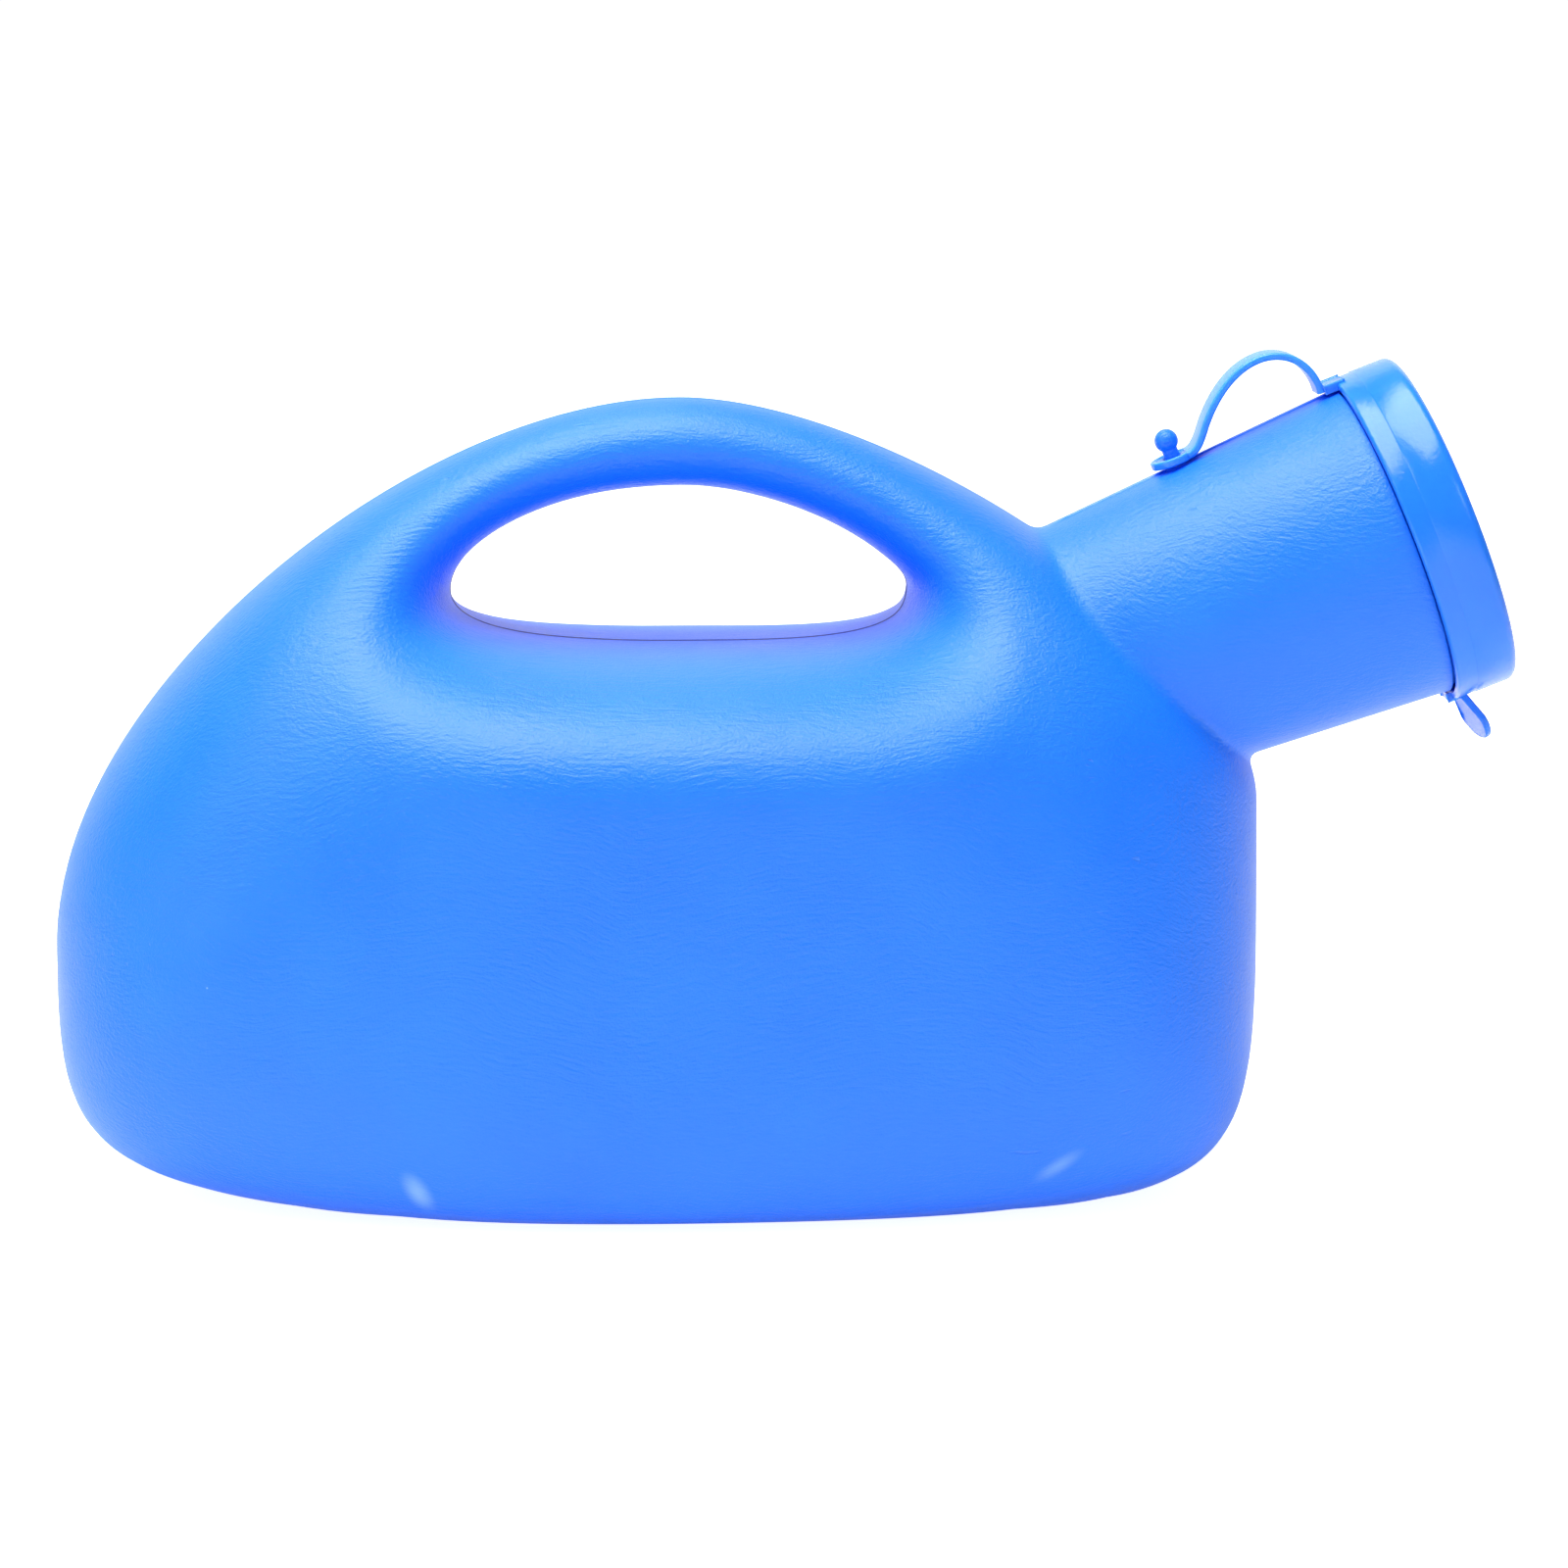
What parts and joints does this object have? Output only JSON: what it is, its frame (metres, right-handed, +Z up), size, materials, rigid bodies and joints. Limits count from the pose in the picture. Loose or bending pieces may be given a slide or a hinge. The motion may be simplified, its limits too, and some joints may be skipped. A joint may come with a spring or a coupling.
{
  "type": "urine bottle",
  "caption": "Domed hollow urine bottle with a through finger opening and handle, a slanted wide neck, and a snap cap tethered by a strap to a ball stud on the neck.",
  "frame": {"origin": "on the ground, in the middle of the body's flat base", "axes": "+X along the body towards the neck and cap, +Y across the body, +Z up; the bottle is the same on both sides of Y = 0"},
  "size_m": [0.2786, 0.114, 0.1584],
  "materials": {
    "bottle": "satin blown polyethylene",
    "cap": "smooth moulded polyethylene"
  },
  "bodies": {
    "bottle": {"bottle": "bottle"},
    "tether": {"tether_strap": "cap"},
    "cap": {"cap": "cap"},
    "eyelet": {"tether_eyelet": "cap"}
  },
  "joints": [
    {"name": "cap_pull", "type": "slide", "parent": "bottle", "child": "tether", "axis": [0.9304, 0, 0.3665], "range_m": [0, 0.011], "deforming": ["tether_strap"]},
    {"name": "cap_swing", "type": "hinge", "parent": "tether", "child": "cap", "pos_m": [0.12629, 0, 0.15185], "axis": [0, -1, 0], "range_deg": [0, 90]},
    {"name": "eyelet_turn", "type": "hinge", "parent": "bottle", "child": "eyelet", "pos_m": [0.1093, 0, 0.10985], "axis": [-0.3665, 0, 0.9304], "range_deg": [-20, 20]}
  ]
}
